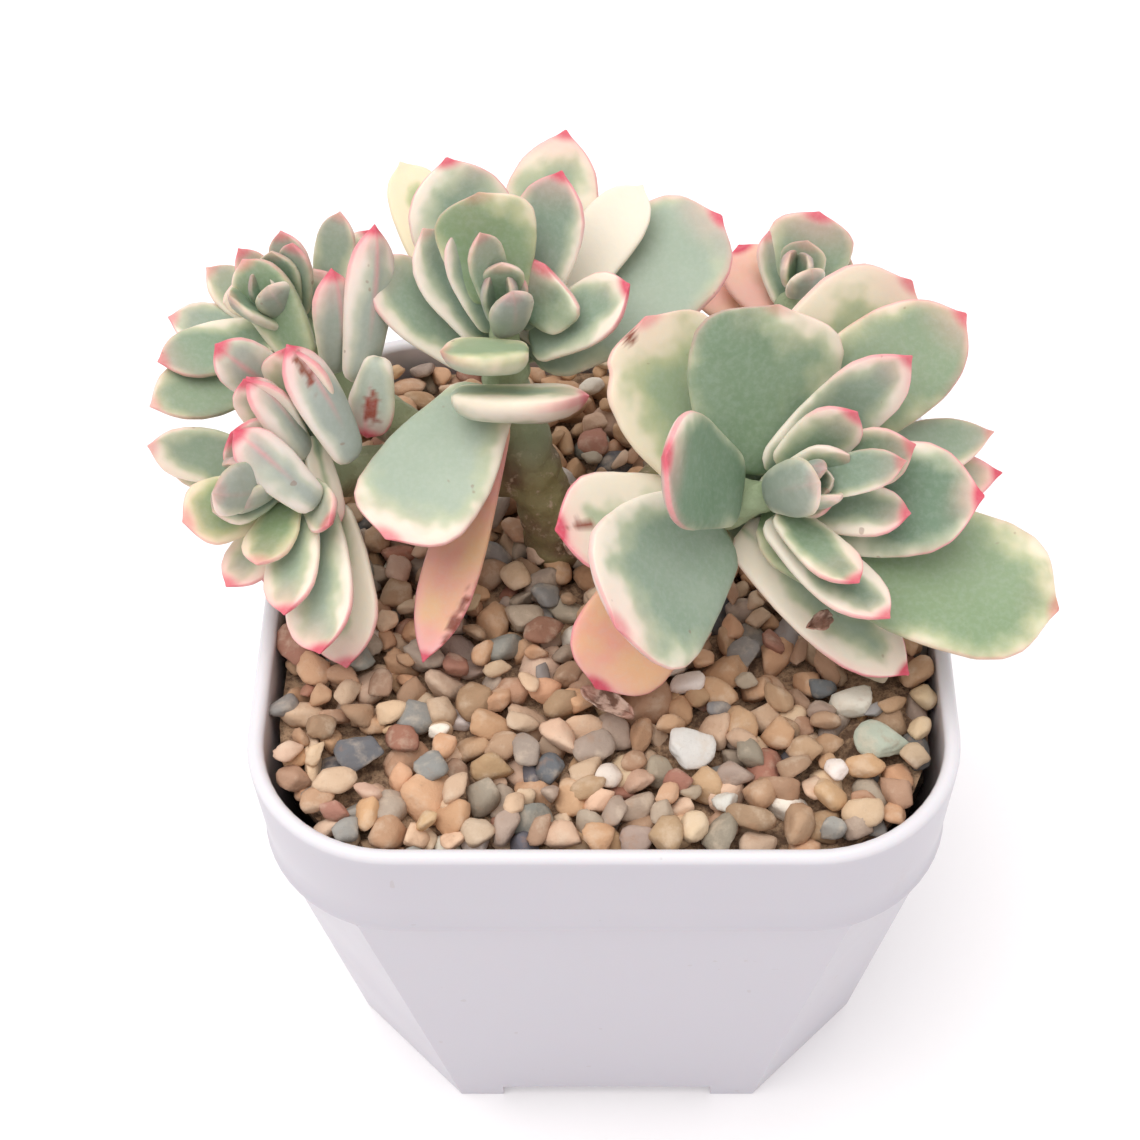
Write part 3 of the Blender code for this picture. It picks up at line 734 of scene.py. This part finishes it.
LOOKS = {
    "crown_leaf_01": look(0.10, 0.75, full=1.5,
        scars=((0.55, -0.95, -1, 2.6, 0.7), (0.85, -0.9, -1, 1.6, 0.6))),
    "crown_leaf_02": look(0.08, 0.25, warm=0.55, round=0.8, pale=0.2),
    "crown_leaf_03": look(0.10, 0.3),
    "crown_leaf_04": look(0.16, 1.0),
    "crown_leaf_05": look(0.20, 1.0, tip_cream=0.3),
    "crown_leaf_06": look(0.25, 1.1, tip_cream=0.45),
    "crown_leaf_07": look(0.32, 1.0, warm=0.3),
    "crown_leaf_08": look(0.05, 0.9),
    "crown_leaf_09": look(1.60, 0.05, round=0.8),
    "crown_leaf_10": look(0.90, 0.1, warm=0.8, round=0.8),
    "crown_leaf_11": look(0.03, 1.0, tip_cream=0.1, round=0.9, pale=0.62),
    "crown_leaf_12": look(0.05, 0.7, tip_cream=0.55, round=1.0, pale=0.8, bias=0),
    "crown_leaf_13": look(0.40, 1.3, warm=0.7, peach=0.85, scars=((0.8, -0.8, 1, 3.0, 0.5),)),
    "crown_leaf_14": look(0.25, 0.3, warm=0.6, round=0.5, thick=1.7, full=1.5),
    "crown_leaf_15": look(0.50, 0.7, warm=0.3, thick=1.6, full=1.3),
    "right_leaf_01": look(0.15, 0.9, tip_cream=0.4, full=1.45),
    "right_leaf_02": look(0.20, 0.7, full=1.45),
    "right_leaf_03": look(0.25, 0.9, full=1.45),
    "right_leaf_04": look(0.40, 0.9, scars=((0.75, 0.2, -1, 1.8, 0.5), (0.5, 0.1, -1, 1.2, 0.4))),
    "right_leaf_05": look(0.12, 1.2, pale=0, bias=-0.1),
    "right_leaf_06": look(0.20, 0.9, tip_cream=0.3),
    "right_leaf_07": look(0.65, 0.8, scars=((0.82, 0.1, -1, 1.5, 0.6),)),
    "right_leaf_08": look(0.08, 0.8, tip_cream=0.25),
    "right_leaf_09": look(0.04, 0.5, warm=0.5, round=1.0, pale=0.22),
    "right_leaf_10": look(0.12, 0.8, warm=0.4, round=0.6),
    "right_leaf_11": look(0.20, 1.2, tip_cream=0.2),
    "right_leaf_12": look(0.70, 0.7, warm=0.45, round=1.0, pale=0.6),
    "right_leaf_13": look(-0.05, 0.35, warm=0.25, round=1.0, tip_cream=0.15, pale=0.15, bias=0.1),
    "right_leaf_14": look(-0.1, 0.9, round=0.5, pale=0.05, bias=0),
    "right_leaf_15": look(0.80, 1.4, scars=((0.35, 0.5, -1, 2.2, 1.3),)),
    "right_leaf_16": look(0.10, 0.55, tip_cream=0.5, round=0.9, pale=0.38, bias=0.25),
    "right_leaf_17": look(0.42, 0.5, warm=0.6, round=0.9, nick=(0.80, -1, 0.12),
        scars=((0.93, -0.7, 1, 0.8, 0.6),)),
    "right_leaf_18": look(0.75, 1.4, tip_cream=0.3, scars=((0.8, 0.0, 1, 1.2, 0.5),)),
    "right_leaf_19": look(0.60, 1.2, warm=0.9, peach=0.95, round=0.8),
    "low_leaf_01": look(0.20, 0.4, warm=0.7),
    "low_leaf_02": look(0.35, 0.5, warm=0.8),
    "low_leaf_03": look(0.45, 1.0, scars=((0.6, 0.0, -1, 2.0, 0.3),)),
    "low_leaf_04": look(0.40, 1.0),
    "low_leaf_05": look(0.45, 0.8),
    "low_leaf_07": look(0.40, 0.9),
    "low_leaf_08": look(0.40, 0.9, scars=((0.75, 0.1, -1, 2.4, 0.6), (0.45, 0.5, -1, 1.6, 0.5))),
    "low_leaf_09": look(0.40, 1.0, round=0.4),
    "low_leaf_10": look(0.60, 0.9, warm=0.3),
    "side_leaf_1": look(0.25, 1.1, full=1.1),
    "side_leaf_2": look(0.20, 1.0, full=1.1),
    "side_leaf_3": look(0.35, 1.1, full=1.1, scars=((0.8, 0.1, -1, 2.2, 0.6),)),
    "side_leaf_4": look(0.45, 1.0, round=0.7, full=1.1, scars=((0.6, 0.2, -1, 1.5, 0.8),)),
    "side_leaf_5": look(0.35, 1.0, full=1.1),
    "side_leaf_6": look(0.45, 1.1, full=1.1),
    "side_leaf_7": look(0.30, 1.0, full=1.1, scars=((0.6, 0.9, 1, 2.4, 0.4),)),
    "side_leaf_8": look(0.90, 0.7, full=1.1),
    "side_leaf_9": look(0.12, 0.5, warm=0.4, round=0.6, full=1.1),
    "upper_leaf_01": look(0.12, 0.4, warm=0.4, round=0.7),
    "upper_leaf_04": look(0.20, 1.1, round=0.3),
    "upper_leaf_06": look(0.30, 1.0, scars=((0.7, 0.9, 1, 2.6, 0.4),)),
    "rear_leaf_01": look(0.10, 0.9),
    "rear_leaf_02": look(0.60, 0.9, warm=0.7, peach=0.65, round=0.8),
    "rear_small_3": look(0.60, 1.3, warm=0.6, peach=0.6),
}


def looks_for(name, age, rng):
    """Colouring of one leaf; age runs from 0 for the innermost of a rosette to 1 for the outermost."""
    looks = {
        "cream": rng.uniform(0.02, 0.14) + 0.12 * age,
        "tip_cream": rng.uniform(0.0, 0.25),
        "bias": rng.uniform(-0.18, 0.18),
        "pale": rng.uniform(0.10, 0.30) + 0.45 * age,
        "blush": rng.uniform(0.35, 0.75) * (0.3 + 0.7 * min(1, 4 * age)),
        "warm": rng.uniform(0.0, 0.35),
        "peach": 0.0,
        "round": rng.uniform(0.0, 0.3),
        "full": 1.16 + 0.16 * (1 - min(1, 2 * age)),
        "thick": 1.0,
    }
    looks.update(LOOKS.get(name, {}))
    return looks


def bud_rows(rosette):
    """Leaf rows that spiral out from a growing point."""
    count, first, last, short, long, thin, wide = BUDS[rosette]
    rows = []
    for k in range(count):
        share = k / (count - 1)
        opening = first + share * (last - first)
        length = short + share * (long - short)
        width = thin + share * (wide - thin)
        rows.append((137.5 * k + 20, opening, 0.2 + 2.2 * share, length, width, 0))
    return rows


def add_leaf(name, look_name, age, measures, material, nodes=()):
    """Grows one leaf, with its own random numbers, and ties it to the plant."""
    rng = random.Random(look_name)
    obj = grow_leaf(name, measures, rng, looks_for(look_name, age, rng))
    obj.data.materials.append(material)
    place(obj, "leaf", *nodes)


def make_leaves():
    """Each rosette's CAD leaves in full detail, then its smaller leaves, then those between the rosettes."""
    material = leaf_material()
    for rosette in HEADS:
        grown = sorted(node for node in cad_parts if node.startswith(rosette + "_leaf_"))
        for number, node in enumerate(grown, 1):
            add_leaf("look_" + node, node, number / len(grown), leaf_from_node(node), material, (node,))
        for number, row in enumerate(EXTRA_LEAVES[rosette], 1):
            name = f"{rosette}_small_{number}"
            add_leaf(name, name, row[1] / 100, leaf_from_row(rosette, row), material)
        for number, row in enumerate(bud_rows(rosette), 1):
            name = f"{rosette}_bud_{number}"
            add_leaf(name, name, 0.0, leaf_from_row(rosette, row), material)
    for number, row in enumerate(SIDE_LEAVES, 1):
        name = f"side_leaf_{number}"
        add_leaf(name, name, 0.3, leaf_between(*row), material)


# ---- stem

def make_stem():
    """The CAD stem grown knobbly, with rings where old leaves dropped."""
    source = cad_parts["stem"]
    obj = bpy.data.objects.new("look_stem", source.data.copy())
    obj.data.materials.clear()
    bpy.context.collection.objects.link(obj)
    weld = obj.modifiers.new("weld", "WELD")
    weld.merge_threshold = 0.00001
    remesh = obj.modifiers.new("remesh", "REMESH")
    remesh.mode = "VOXEL"
    remesh.voxel_size = 0.4 * MM
    remesh.use_smooth_shade = True
    ease = obj.modifiers.new("ease", "SMOOTH")
    ease.iterations = 6
    bpy.context.view_layer.update()
    mesh = bpy.data.meshes.new_from_object(obj.evaluated_get(bpy.context.evaluated_depsgraph_get()))
    obj.modifiers.clear()
    obj.data = mesh
    for vertex in mesh.vertices:
        at = vertex.co / MM
        bulge = 0.35 * noise.noise(at * 0.28) + 0.18 * noise.noise(at * 0.9)
        ring = 0.16 * math.sin(at.z * 1.9 + 3.0 * noise.noise(at * 0.15))
        vertex.co += vertex.normal * (bulge + ring + 0.1) * MM
    mesh.polygons.foreach_set("use_smooth", [True] * len(mesh.polygons))
    mesh.materials.append(stem_material())
    place(obj, "stem", "stem")


FLAKE_ROWS = 15
FLAKE_COLUMNS = 9
FLAKE_THICKNESS = 0.16

# Papery remains of old leaves: middle, length, width, rotation about X, Y and Z, and how tightly each curls
SCRAPS = (
    ((1.0, 3.0, 66.5), 6.5, 3.6, (35, -25, 20), 1.4),
    ((2.5, 1.5, 69.0), 5.0, 2.8, (-30, 40, 70), 1.9),
    ((-2.0, 1.5, 68.5), 4.5, 2.6, (60, 10, -30), 1.6),
    ((3.5, 2.0, 65.2), 5.5, 3.0, (-10, 15, -55), 1.2),
    ((0.5, -18.5, 65.2), 7.0, 2.4, (8, -6, -38), 0.9),
    ((22.0, -14.0, 73.5), 3.6, 1.9, (30, 20, 40), 1.5),
)


def curled_flake(length, width, curl, seed):
    """Points of a thin oval flake, curled up at its edges and crumpled, in rows along its length."""
    points = []
    for i in range(FLAKE_ROWS):
        along = i / (FLAKE_ROWS - 1) - 0.5
        for k in range(FLAKE_COLUMNS):
            across = k / (FLAKE_COLUMNS - 1) - 0.5
            taper = math.sqrt(max(0.03, 1 - (2 * along) ** 2))
            edge = 1 + 0.25 * noise.noise(Vector((along * 5, across * 3, seed)))
            bend = curl * width * 0.5 * (across * 2) ** 2 * taper
            bend += curl * length * 0.12 * (2 * along) ** 2
            crumple = 0.5 * noise.noise(Vector((along * 4, across * 4, seed * 5.1)))
            points.append(Vector((along * length, across * width * taper * edge, bend + crumple)))
    return points


def make_scraps():
    """Thin curled flakes round the trunk, on the grit and under one leaf."""
    material = dry_leaf_material()
    starts = [r * FLAKE_COLUMNS + c for r in range(FLAKE_ROWS - 1) for c in range(FLAKE_COLUMNS - 1)]
    faces = [(at, at + 1, at + FLAKE_COLUMNS + 1, at + FLAKE_COLUMNS) for at in starts]
    for number, (middle, length, width, rotation, curl) in enumerate(SCRAPS, 1):
        turn = Euler([math.radians(angle) for angle in rotation]).to_matrix()
        points = [turn @ spot + Vector(middle) for spot in curled_flake(length, width, curl, number)]
        obj = mesh_object(f"scrap_{number}", points, faces)
        skin = obj.modifiers.new("skin", "SOLIDIFY")
        skin.thickness = FLAKE_THICKNESS * MM
        obj.data.materials.append(material)
        place(obj, None)


# ---- gravel

# Share of the stones that have each colour
TINTS = (
    (0.33, (0.570, 0.345, 0.200)),
    (0.22, (0.640, 0.450, 0.310)),
    (0.15, (0.430, 0.265, 0.165)),
    (0.11, (0.390, 0.305, 0.240)),
    (0.06, (0.310, 0.290, 0.270)),
    (0.03, (0.130, 0.130, 0.138)),
    (0.06, (0.370, 0.175, 0.120)),
    (0.04, (0.740, 0.680, 0.600)),
)


def pick_tint(rng):
    """A stone colour by its share of the mix, with a little spread."""
    draw = rng.random() * sum(share for share, _ in TINTS)
    for share, tint in TINTS:
        draw -= share
        if draw <= 0:
            break
    light = rng.uniform(0.82, 1.2)
    return tuple(min(0.9, c * light * rng.uniform(0.95, 1.05)) for c in tint)


def stone_shape(rng, detail=3):
    """A unit stone: a ball worn flat on several sides, then roughened."""
    ball = bmesh.new()
    bmesh.ops.create_icosphere(ball, subdivisions=detail, radius=1.0)
    ways = np.array([v.co for v in ball.verts])
    faces = [tuple(v.index for v in f.verts) for f in ball.faces]
    ball.free()
    cuts = rng.randint(9, 14)
    planes = np.array([[rng.gauss(0, 1) for _ in range(3)] for _ in range(cuts)])
    planes /= np.linalg.norm(planes, axis=1)[:, None]
    depths = np.array([rng.uniform(0.62, 0.95) for _ in range(cuts)])
    facing = np.maximum(ways @ planes.T, 0.05)
    reach = 1 / ((facing / depths) ** 14).sum(1) ** (1 / 14)
    reach = np.minimum(reach, 1.15)
    shift = Vector((rng.uniform(0, 30), 0, 0))
    rough = np.array([noise.noise(Vector(w) * 2.3 + shift) for w in ways])
    return ways * (reach * (1 + 0.06 * rough))[:, None], faces


def turned(rng, tilt):
    """Any turn about the vertical, with a small random tilt."""
    spin = Matrix.Rotation(rng.uniform(0, 2 * math.pi), 3, "Z")
    pitch = Matrix.Rotation(rng.gauss(0, tilt), 3, "X")
    roll = Matrix.Rotation(rng.gauss(0, tilt), 3, "Y")
    return np.array(spin @ pitch @ roll)


def inside_pot(x, y, reach):
    """Whether a stone of this reach fits within the rim's inner wall."""
    half = RIM_HALF - WALL - reach
    corner = RIM_CORNER - WALL - reach * 0.6
    if abs(x) > half or abs(y) > half:
        return False
    over = np.maximum(np.abs([x, y]) - (half - corner), 0)
    return bool(np.hypot(*over) <= corner)


class Bed:
    """A height map on which stones are laid one by one."""

    def __init__(self):
        self.side = int(2 * RIM_HALF / MAP_STEP) + 1
        self.height = np.full((self.side, self.side), BED_FLOOR)
        line = np.arange(self.side) * MAP_STEP - RIM_HALF
        self.x, self.y = np.meshgrid(line, line, indexing="ij")

    def lay(self, points):
        """Lowers points, centred on their own middle, until they rest; returns them in place."""
        low = points.min(0)
        high = points.max(0)
        i0, j0 = ((low[:2] + RIM_HALF) / MAP_STEP).astype(int)
        i1, j1 = ((high[:2] + RIM_HALF) / MAP_STEP).astype(int) + 2
        patch = self.height[i0:i1, j0:j1]
        centre = (low + high) / 2
        size = (high - low) / 2
        away = ((self.x[i0:i1, j0:j1] - centre[0]) / size[0]) ** 2
        away = away + ((self.y[i0:i1, j0:j1] - centre[1]) / size[1]) ** 2
        dome = np.sqrt(np.clip(1 - away, 0, 1)) * size[2]
        covered = away < 1
        if not covered.any():
            return None
        gaps = patch[covered] + dome[covered]
        z = np.quantile(gaps, 0.62)
        if z + size[2] > BED_LIMIT:
            return None
        raised = np.where(covered, np.maximum(patch, z + dome), patch)
        self.height[i0:i1, j0:j1] = raised
        return points + np.array([0, 0, z - centre[2]])


def join_stones(name, stones, tints, slot, nodes=()):
    """One object from many stones, with each one's colour on its points."""
    points = []
    faces = []
    colours = []
    start = 0
    for (spots, stone_faces), tint in zip(stones, tints):
        points.append(spots)
        faces += [tuple(start + i for i in f) for f in stone_faces]
        colours += [(*tint, 1.0)] * len(spots)
        start += len(spots)
    obj = mesh_object(name, np.vstack(points), faces)
    layer = obj.data.attributes.new("tint", "FLOAT_COLOR", "POINT")
    layer.data.foreach_set("color", np.array(colours, dtype=np.float32).ravel())
    obj.data.materials.append(STONE_SKIN)
    place(obj, slot, *nodes)


# Colours of the four larger stones
FEATURE_TINTS = {
    "stone_green": (0.480, 0.520, 0.420),
    "stone_white": (0.800, 0.770, 0.730),
    "stone_pale": (0.640, 0.560, 0.410),
    "stone_dark": (0.150, 0.150, 0.160),
}


def lay_feature_stones(bed):
    """The four larger stones where the CAD part has them, with room kept clear round each."""
    for node, tint in FEATURE_TINTS.items():
        low, high = (np.array(c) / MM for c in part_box(node))
        shape, faces = stone_shape(random.Random(node), 4)
        spots = shape / np.abs(shape).max(0) * (high - low) / 2 * 1.03 + (low + high) / 2
        join_stones("look_" + node, [(spots, faces)], [tint], node, (node,))
        covered = ((bed.x - (low + high)[0] / 2) / (high - low)[0] * 2) ** 2
        covered = covered + ((bed.y - (low + high)[1] / 2) / (high - low)[1] * 2) ** 2
        bed.height[covered < 1.5] = BED_LIMIT


def loose_stone(rng, kinds, bed):
    """Drops one random stone on the bed; None if it doesn't fit there."""
    length = min(STONE_MOST, max(STONE_LEAST, rng.gauss(STONE_LENGTH, STONE_SPREAD)))
    width = length * rng.uniform(*STONE_WIDTHS)
    height = length * rng.uniform(*STONE_HEIGHTS)
    x = rng.uniform(-BED_REACH, BED_REACH)
    y = rng.uniform(-BED_REACH, BED_REACH)
    if not inside_pot(x, y, length * 0.42):
        return None
    shape, faces = rng.choice(kinds)
    half_sizes = np.array([length, width, height]) / 2
    laid = bed.lay((shape * half_sizes) @ turned(rng, STONE_TILT).T + np.array([x, y, 0.0]))
    return None if laid is None else (laid, faces)


def make_gravel():
    """The larger stones, then loose grit dropped one by one until there is enough or no room."""
    rng = random.Random(SEED)
    kinds = [stone_shape(rng) for _ in range(STONE_KINDS)]
    bed = Bed()
    lay_feature_stones(bed)
    stones = []
    tints = []
    for _ in range(STONE_TRIES):
        stone = loose_stone(rng, kinds, bed)
        if stone is not None:
            stones.append(stone)
            tints.append(pick_tint(rng))
        if len(stones) == STONE_COUNT:
            break
    join_stones("look_gravel", stones, tints, "gravel")


# ---- pot

def square_ring(half, corner, z, rounded, steps=14):
    """A square of the given half-width whose corners are arcs (1), chamfers (0) or between the two."""
    ring = []
    for quarter in range(4):
        turn = Matrix.Rotation(quarter * math.pi / 2, 2)
        for i in range(steps + 1):
            angle = i / steps * math.pi / 2
            arc = Vector((half - corner + corner * math.cos(angle), half - corner + corner * math.sin(angle)))
            straight = i / steps
            soft = 0.5 - 0.5 * math.cos(math.pi * straight)
            straight = 0.85 * straight + 0.15 * soft
            cut = Vector((half - straight * corner, half - corner + straight * corner))
            at = turn @ cut.lerp(arc, rounded)
            ring.append((at.x, at.y, z))
    return ring


def body_ring(z, inset=0.0):
    """Outline of the tapered body at a height."""
    share = z / COLLAR_BOTTOM
    half = BASE_HALF + share * (BODY_TOP_HALF - BASE_HALF) - inset
    corner = BASE_CHAMFER + share * (BODY_TOP_CHAMFER - BASE_CHAMFER) - inset * 0.4
    return square_ring(half, corner, z, 0.0)


def outside_rings():
    """Outlines from the ground up to the lip: feet, tapered body, collar."""
    levels = ((0.35, 0.5), (0.0, 0.25), (0.25, 0.0), (3.0, 0.0), (25.0, 0.0))
    rings = [body_ring(z, inset) for z, inset in levels]
    rings.append(body_ring(COLLAR_BOTTOM - 0.8))
    rings.append(body_ring(COLLAR_BOTTOM - 0.15, -0.1))
    for half, rise in COLLAR_EDGE:
        rings.append(square_ring(half, RIM_CORNER, COLLAR_BOTTOM + rise, 1.0))
    low, high = COLLAR_STRAIGHT
    for z in COLLAR_LEVELS:
        half = COLLAR_HALF + COLLAR_SPREAD * (z - low) / (high - low)
        rings.append(square_ring(half, RIM_CORNER, z, 1.0))
    return rings


def lip_rings():
    """Outlines over the rounded lip, from its outer side to its inner side."""
    middle = RIM_HALF - WALL / 2
    rings = []
    for turn in range(0, 181, 20):
        out = math.cos(math.radians(turn)) * WALL / 2
        up = math.sin(math.radians(turn)) * LIP_RISE
        rings.append(square_ring(middle + out, RIM_CORNER - WALL / 2 + out, POT_HEIGHT - LIP_RISE + up, 1.0))
    return rings


def inside_rings():
    """Outlines down the inner wall, across the floor to its central opening, and back underneath."""
    underside = FLOOR_TOP - FLOOR_THICKNESS
    return [
        square_ring(35.6, 14.1, 60.0, 1.0),
        square_ring(34.5, 9.5, 53.0, 0.0),
        body_ring(FLOOR_TOP, WALL),
        square_ring(5.0, 2.0, FLOOR_TOP, 0.0),
        square_ring(5.0, 2.0, underside, 0.0),
        body_ring(underside, WALL),
        body_ring(0.3, WALL - 0.1),
    ]


def make_pot():
    """The moulded pot as one closed skin, with its notches and marks."""
    rings = outside_rings() + lip_rings() + inside_rings()
    columns = len(rings[0])
    points = [p for ring in rings for p in ring]
    faces = grid_faces(len(rings), columns)
    start = (len(rings) - 1) * columns
    faces += [(start + c, start + (c + 1) % columns, (c + 1) % columns, c) for c in range(columns)]
    obj = mesh_object("look_pot", points, faces)
    cut_notches(obj)
    mark_pot(obj)
    obj.data.materials.append(pot_material())
    place(obj, "pot", "pot")
    edges = obj.modifiers.new("edges", "EDGE_SPLIT")
    edges.split_angle = math.radians(38)


def cut_notches(obj):
    """A wide low notch at the ground in the middle of each side."""
    for turn in (0, 90):
        half = (NOTCH_HALF, 60.0) if turn else (60.0, NOTCH_HALF)
        square = ((-1, -1), (1, -1), (1, 1), (-1, 1))
        levels = (-NOTCH_HEIGHT, NOTCH_HEIGHT)
        corners = [(x * half[0], y * half[1], z) for z in levels for x, y in square]
        faces = [(3, 2, 1, 0), (4, 5, 6, 7), (0, 1, 5, 4), (1, 2, 6, 5), (2, 3, 7, 6), (3, 0, 4, 7)]
        cutter = mesh_object("cutter", corners, faces, False)
        cut = obj.modifiers.new("notch", "BOOLEAN")
        cut.operation = "DIFFERENCE"
        cut.solver = "EXACT"
        cut.object = cutter
        bpy.context.view_layer.update()
        mesh = bpy.data.meshes.new_from_object(obj.evaluated_get(bpy.context.evaluated_depsgraph_get()))
        obj.modifiers.clear()
        obj.data = mesh
        bpy.data.objects.remove(cutter)


def mark_pot(obj):
    """Where the collar is rubbed, a browner painted shade on the inner wall under the rim, and painted light
    on the top of the rim.
    """
    rub = []
    rim_wall_shade = []
    lip = []
    for vertex in obj.data.vertices:
        at = vertex.co / MM
        away = math.hypot((at.x - 31.0) / 1.4, (at.z - 57.0) / 2.2) if at.y < -25 else 9.0
        rub.append(max(0.0, 1.0 - away))
        # painted shade: browner on the inner wall under the rim, where the gravel meets it
        inward = vertex.normal.x * at.x + vertex.normal.y * at.y < -5
        rim_wall_shade.append(0.35 if inward and 45 < at.z < 64.4 else 0.0)
        # painted light: the top of the lip is lighter, as if lit from above
        lip.append(0.75 * min(1.0, max(0.0, (at.z - 64.0) / 0.6)))
    set_attribute(obj, "lip", lip)
    set_attribute(obj, "rub", rub)
    set_attribute(obj, "rim_wall_shade", rim_wall_shade)


# ---- studio

def make_stage():
    """A wide sheet of paper under the pot."""
    corners = [(x * FLOOR_REACH, y * FLOOR_REACH, 0) for x, y in ((-1, -1), (1, -1), (1, 1), (-1, 1))]
    floor = mesh_object("floor", corners, [(0, 1, 2, 3)], False)
    floor.data.materials.append(floor_material())


def make_light():
    """An even white surround and one wide soft light from above."""
    world = bpy.data.worlds.new("studio")
    bpy.context.scene.world = world
    world.use_nodes = True
    sky = world.node_tree.nodes["Background"]
    sky.inputs["Color"].default_value = (1.0, 0.985, 0.985, 1.0)
    sky.inputs["Strength"].default_value = SKY
    lamp = bpy.data.lights.new("key", "SUN")
    lamp.energy = SUN
    lamp.angle = math.radians(SUN_SPREAD)
    lamp.color = (1.0, 0.985, 0.97)
    obj = bpy.data.objects.new("key", lamp)
    obj.rotation_euler = Vector(SUN_TOWARDS).to_track_quat("Z", "Y").to_euler()
    bpy.context.collection.objects.link(obj)
    bpy.context.scene.view_settings.view_transform = "Standard"


def make_camera():
    """Looks down on the plant from the front."""
    lens = bpy.data.cameras.new("camera")
    lens.lens = CAMERA_LENS
    lens.sensor_width = 36
    lens.shift_x, lens.shift_y = CAMERA_SHIFT
    obj = bpy.data.objects.new("camera", lens)
    obj.location = Vector(CAMERA_PLACE) * MM
    obj.rotation_euler = (math.radians(90 - CAMERA_PITCH), 0, 0)
    bpy.context.collection.objects.link(obj)
    bpy.context.scene.camera = obj


def finish_filling():
    """The mix and the bed under the loose stones keep their CAD shapes: only their skins are made here."""
    for node, material in (("potting_mix", mix_material()), ("gravel_bed", fines_material())):
        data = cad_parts[node].data
        data.materials.clear()
        data.materials.append(material)


STONE_SKIN = stone_material()
make_camera()
make_light()
make_stage()
make_pot()
finish_filling()
make_gravel()
make_stem()
make_scraps()
make_leaves()
